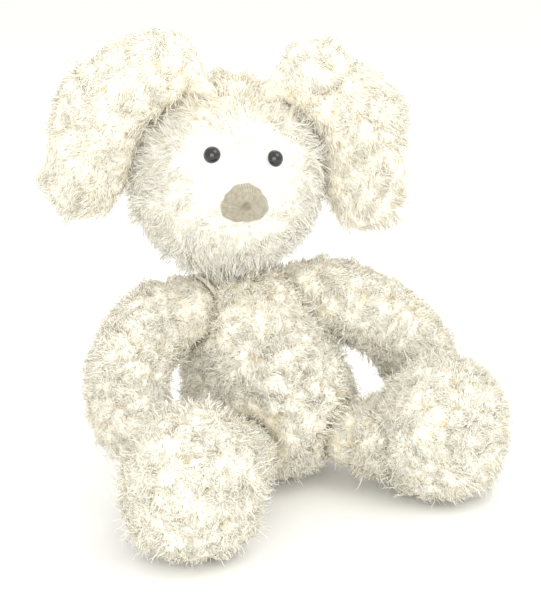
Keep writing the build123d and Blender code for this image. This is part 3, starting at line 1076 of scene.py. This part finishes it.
@dataclass
class HeadSkin(SoftPart):
    """The head without its ears."""

    def __post_init__(self) -> None:
        """Reads where the face is from the frame."""
        self.centre = middle_of("head_left_panel", "head_right_panel")
        self.nose = middle_of("nose_pad")
        self.eyes = [middle_of(f"{side}_eye") for side in SIDES]
        self.forward = unit(np.array([*(self.nose - self.centre)[:2], 0.0]))
        self.across = np.array([-self.forward[1], self.forward[0], 0.0])

    def finishes(self, palette: Palette) -> Tuple[bpy.types.Material, bpy.types.Material]:
        """Paler than the body."""
        return palette.face_underpile, palette.face_pile

    def comb(self, places: Array, normals: Array) -> Array:
        """Away from the nose over the cheeks, and down at the sides and back."""
        away = unit(places - self.nose)
        ahead = smooth_step((places - self.centre) @ self.forward, -0.01, 0.05)[:, None]
        down = np.array([0.0, 0.0, -1.0])
        wave = 0.3 * np.sin(places @ np.array([190.0, 150.0, 170.0]))[:, None] * self.across
        return away * (0.4 + 0.6 * ahead) + down * (0.75 - 0.45 * ahead) + wave

    def reach(self, places: Array, normals: Array) -> Array:
        """Short on the face, long on the cheeks and chin, none round the eyes and under the nose."""
        rel = places - self.centre
        ahead = smooth_step(rel @ self.forward, 0.018, 0.050)
        out = smooth_step(np.abs(rel @ self.across), 0.016, 0.046)
        low = smooth_step(-rel[:, 2], 0.0, 0.040)
        share = 1.35 - 0.80 * ahead * (1.0 - 0.8 * out) * (1.0 - 0.5 * low) + 0.20 * low
        for eye in self.eyes:
            near = towards(places, eye)
            share *= 0.22 + 0.78 * smooth_step(near, 0.0055, 0.017)
            share *= near > 0.0058
        share *= 0.35 + 0.65 * smooth_step(towards(places, self.nose), 0.012, 0.030)
        neck = joint_place("neck_turn")
        share *= 0.15 + 0.85 * smooth_step(towards(places, neck), 0.020, 0.030)
        return share

    def shade(self, places: Array) -> Array:
        """Painted shade: tan beside the ears and above the eyes."""
        tone = np.zeros(len(places))
        for side in SIDES:
            root = joint_place(f"{side}_ear_lift")
            tone = np.maximum(tone, 0.8 * (1.0 - smooth_step(towards(places, root), 0.018, 0.042)))
        for eye in self.eyes:
            # Painted shade in the hollow above each eye.
            near = towards(places, eye + np.array([0.0, 0.0, 0.005]))
            tone = np.maximum(tone, 0.5 * (1.0 - smooth_step(near, 0.006, 0.014)))
        return tone


@dataclass
class EarFlap(SoftPart):
    """One floppy ear."""

    side: str = "left"

    def finishes(self, palette: Palette) -> Tuple[bpy.types.Material, bpy.types.Material]:
        """The ear's longer, silkier pile."""
        return palette.underpile, palette.ear_pile

    def comb(self, places: Array, normals: Array) -> Array:
        """From the root out over the bend and down to the tip, in long waves."""
        root = joint_place(f"{self.side}_ear_lift")
        away = unit(places - root)
        wave = 0.35 * np.sin(towards(places, root) * 230.0 + places[:, 1] * 120.0)
        flow = away + np.array([0.0, 0.0, -0.75])
        flow[:, 0] += wave
        return flow

    def reach(self, places: Array, normals: Array) -> Array:
        """Longer at the tip and the edges, short where it turns on the head."""
        root = joint_place(f"{self.side}_ear_lift")
        far = towards(places, root)
        share = 0.30 + 0.55 * smooth_step(far, 0.010, 0.030)
        return share + 0.25 * smooth_step(far, 0.060, 0.110)

    def shade(self, places: Array) -> Array:
        """Painted shade: tan towards the head, where the ear meets it."""
        centre = middle_of("head_gusset")
        near = towards(places, centre)
        return 0.75 * (1.0 - smooth_step(near, 0.060, 0.078))


@dataclass
class Limb(SoftPart):
    """An arm or a leg, combed from its root to its end."""

    root_joint: str = ""
    end_nodes: Sequence[str] = ()
    start: float = 0.012

    def comb(self, places: Array, normals: Array) -> Array:
        """Away from the root and down, in uneven curls."""
        root = joint_place(self.root_joint)
        away = unit(places - root)
        wave = np.sin(places @ np.array([260.0, 180.0, 220.0]))[:, None]
        turn = np.array([0.35, -0.25, 0.2])
        return 0.7 * away + np.array([0.0, 0.0, -0.45]) + wave * turn

    def reach(self, places: Array, normals: Array) -> Array:
        """Short inside the socket and under the part."""
        near = towards(places, joint_place(self.root_joint))
        share = 0.2 + 0.8 * smooth_step(near, self.start, self.start + 0.010)
        return share * (0.25 + 0.75 * smooth_step(places[:, 2], 0.001, 0.012))

    def shade(self, places: Array) -> Array:
        """Painted shade: tan near the root, beside the socket."""
        near = towards(places, joint_place(self.root_joint))
        return 0.55 * (1.0 - smooth_step(near, 0.018, 0.045))


@dataclass
class Nose:
    """The stitched nose: a rounded triangle wound with thread from its middle.

    Attributes:
        threads: Threads round the nose.
        rings: Rings of faces from the middle to the edge.
        groove: Depth between two threads.
    """

    threads: int = 54
    rings: int = 40
    groove: float = 0.00035

    def build(self, palette: Palette) -> None:
        """Models the cushion and lays its threads."""
        head = middle_of("head_left_panel", "head_right_panel")
        low, high = box_of("nose_pad")
        centre = (low + high) / 2
        forward = unit(np.array([*(centre - head)[:2], 0.0]))
        select_all_off()
        bpy.ops.mesh.primitive_uv_sphere_add(
            segments=self.threads * 6, ring_count=self.rings, radius=1.0, location=(0, 0, 0)
        )
        nose = bpy.context.active_object
        nose.name = "nose_stitched"
        places = vertex_places(nose.data)
        around = np.arctan2(places[:, 1], places[:, 0])
        out = np.hypot(places[:, 0], places[:, 1])
        twist = around + 0.05 * np.sin(7.0 * out + 3.0 * around)
        ridge = np.abs(np.cos(twist * self.threads / 2.0)) ** 0.8
        edge = 1.0 + 0.07 * np.cos(3.0 * (around + math.pi / 2.0) + math.pi)
        wide = (0.0132, 0.0108, 0.0072)
        shaped = places * np.stack([edge, edge, np.ones_like(edge)], axis=1) * np.array(wide)
        dimple = np.exp(-((out / 0.25) ** 2)) * (places[:, 2] > 0)
        shaped[:, 2] -= 0.0007 * dimple
        normal = unit(places / np.array(wide))
        fade = smooth_step(out, 0.05, 0.30)
        uneven = 0.00025 * np.sin(11.0 * around + 5.0 * out)
        shaped += normal * (self.groove * ridge * fade + uneven * fade)[:, None]
        right = np.array([-forward[1], forward[0], 0.0])
        up = np.array([0.0, 0.0, 1.0])
        turned = (
            shaped[:, :1] * right + shaped[:, 1:2] * up + shaped[:, 2:] * forward
        )
        set_places(nose.data, turned + centre + forward * 0.0005)
        nose.data.polygons.foreach_set("use_smooth", np.ones(len(nose.data.polygons), bool))
        # The threads' height keys the painted shade in the grooves between them.
        layer = nose.data.attributes.new("thread_height", "FLOAT", "POINT")
        layer.data.foreach_set("value", (ridge * fade).astype(np.float32))
        outwards(nose)
        dress(nose, palette.nose)
        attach(nose, "head")
        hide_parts("nose_pad")
        LOG.info("%s: %d faces", nose.name, len(nose.data.polygons))


def select_all_off() -> None:
    """Deselects every object."""
    bpy.ops.object.select_all(action="DESELECT")


def outwards(piece: bpy.types.Object) -> None:
    """Turns every face of a closed piece outwards."""
    select_only(piece)
    bpy.ops.object.mode_set(mode="EDIT")
    bpy.ops.mesh.select_all(action="SELECT")
    bpy.ops.mesh.normals_make_consistent(inside=False)
    bpy.ops.object.mode_set(mode="OBJECT")


# ---------------------------------------------------------------- the toy


def soft_parts() -> List[SoftPart]:
    """Every stuffed part of the toy, in the order of building."""
    skins = ["body_front_panel", "body_back_left_panel", "body_back_right_panel", "body_base_panel"]
    parts: List[SoftPart] = [
        Trunk("body", "torso", ["body_filling"], skins, CURLY, 11, halves=True),
        HeadSkin(
            "head",
            "head",
            ["head_filling"],
            ["head_left_panel", "head_right_panel", "head_gusset"],
            SHORT,
            23,
            slot="face_pile",
            halves=True,
        ),
    ]
    for number, side in enumerate(SIDES):
        ear = [f"{side}_ear_outer", f"{side}_ear_lining"]
        parts.append(
            EarFlap(
                f"{side}_ear", f"{side}_ear", ear, ear, SILKY, 31 + number,
                slot="ear_pile", halves=True, fill=0.4, inset=0.0035, cover=None, side=side,
            )
        )
        arm = [f"{side}_arm_front_panel", f"{side}_arm_back_panel"]
        parts.append(
            Limb(
                f"{side}_arm", f"{side}_arm", [f"{side}_arm_filling"], arm, CURLY, 41 + number,
                root_joint=f"{side}_arm_swing", start=0.014,
            )
        )
        leg = [f"{side}_leg_upper_panel", f"{side}_leg_under_panel", f"{side}_sole_panel"]
        parts.append(
            Limb(
                f"{side}_leg", f"{side}_leg", [f"{side}_leg_filling"], leg, CURLY, 51 + number,
                root_joint=f"{side}_leg_turn", start=0.014, halves=True,
            )
        )
    tail = ["tail_left_panel", "tail_right_panel"]
    parts.append(
        Limb("tail", "tail", ["tail_filling"], tail, CURLY, 61, root_joint="tail_wag", start=0.006)
    )
    return parts


INNER = {
    "fibre_filling": PlainFinish("fibre_filling", (0.82, 0.82, 0.80), (0.93, 0.93, 0.92), 0.95),
    "bag_cloth": PlainFinish("bag_cloth", (0.78, 0.76, 0.72), (0.90, 0.89, 0.86), 0.9),
    "pellets": PlainFinish("pellets", (0.72, 0.72, 0.70), (0.90, 0.90, 0.88), 0.5),
    "seam_thread": PlainFinish("seam_thread", (0.70, 0.64, 0.50), (0.88, 0.84, 0.74), 0.85),
    "washer_plastic": PlainFinish("washer_plastic", (0.80, 0.80, 0.78), (0.88, 0.88, 0.86), 0.45),
}


def dress_inner_nodes(palette: Palette) -> None:
    """Gives the carried-over CAD nodes their finishes."""
    built = {slot: finish.build() for slot, finish in INNER.items()}
    built["eye_plastic"] = palette.eye
    for row in frame["record"]["subparts"]:
        material = built.get(row["material_slot"])
        if material is None:
            continue
        for slot in frame["nodes"][row["node"]].material_slots:
            slot.material = material


# ---------------------------------------------------------------- studio


@dataclass(frozen=True)
class Studio:
    """A pale floor, soft light and the camera."""

    azimuth: float = math.radians(-28.0)
    elevation: float = math.radians(16.0)
    distance: float = 1.05
    lens: float = 105.0
    aim: Tuple[float, float, float] = (0.0, 0.0, 0.109)

    def build(self) -> None:
        """Sets the floor, the lights, the sky and the camera."""
        self._floor()
        self._sky()
        self._light("key", (0.55, -0.75, 1.35), 1.1, 6.0)
        self._light("fill", (-0.75, -1.25, 0.45), 1.3, 12.0)
        self._light("back", (0.3, 1.0, 1.1), 1.0, 5.0)
        self._camera()
        bpy.context.scene.view_settings.view_transform = "Standard"
        bpy.context.scene.view_settings.look = "None"

    def _floor(self) -> None:
        select_all_off()
        bpy.ops.mesh.primitive_plane_add(size=12.0, location=(0, 0, 0))
        floor = bpy.context.active_object
        floor.name = "floor"
        material, tree, shader = new_material("floor_paper")
        shader.inputs["Base Color"].default_value = (0.90, 0.895, 0.875, 1.0)
        shader.inputs["Roughness"].default_value = 0.8
        shader.inputs["Specular IOR Level"].default_value = 0.1
        dress(floor, material)

    def _sky(self) -> None:
        world = bpy.data.worlds.new("studio")
        bpy.context.scene.world = world
        world.use_nodes = True
        back = world.node_tree.nodes["Background"]
        back.inputs["Color"].default_value = (1.0, 0.995, 0.985, 1.0)
        back.inputs["Strength"].default_value = 1.10

    def _light(self, name: str, place: Tuple[float, float, float], size: float, power: float) -> None:
        data = bpy.data.lights.new(name, "AREA")
        data.shape = "DISK"
        data.size = size
        data.energy = power
        lamp = bpy.data.objects.new(name, data)
        bpy.context.collection.objects.link(lamp)
        lamp.location = place
        way = Vector(self.aim) - Vector(place)
        lamp.rotation_euler = way.to_track_quat("-Z", "Y").to_euler()

    def _camera(self) -> None:
        back = Vector(
            (
                math.sin(self.azimuth) * math.cos(self.elevation),
                -math.cos(self.azimuth) * math.cos(self.elevation),
                math.sin(self.elevation),
            )
        )
        data = bpy.data.cameras.new("camera")
        data.lens = self.lens
        data.sensor_width = 36.0
        camera = bpy.data.objects.new("camera", data)
        bpy.context.collection.objects.link(camera)
        camera.location = Vector(self.aim) + back * self.distance
        camera.rotation_euler = (-back).to_track_quat("-Z", "Y").to_euler()
        bpy.context.scene.camera = camera


def main() -> None:
    """Builds the toy and its studio."""
    logging.basicConfig(level=logging.INFO, format="%(name)s %(message)s")
    palette = Palette()
    Studio().build()
    dress_inner_nodes(palette)
    for part in soft_parts():
        part.build(palette)
    Nose().build(palette)


if __name__ == "__main__":
    main()
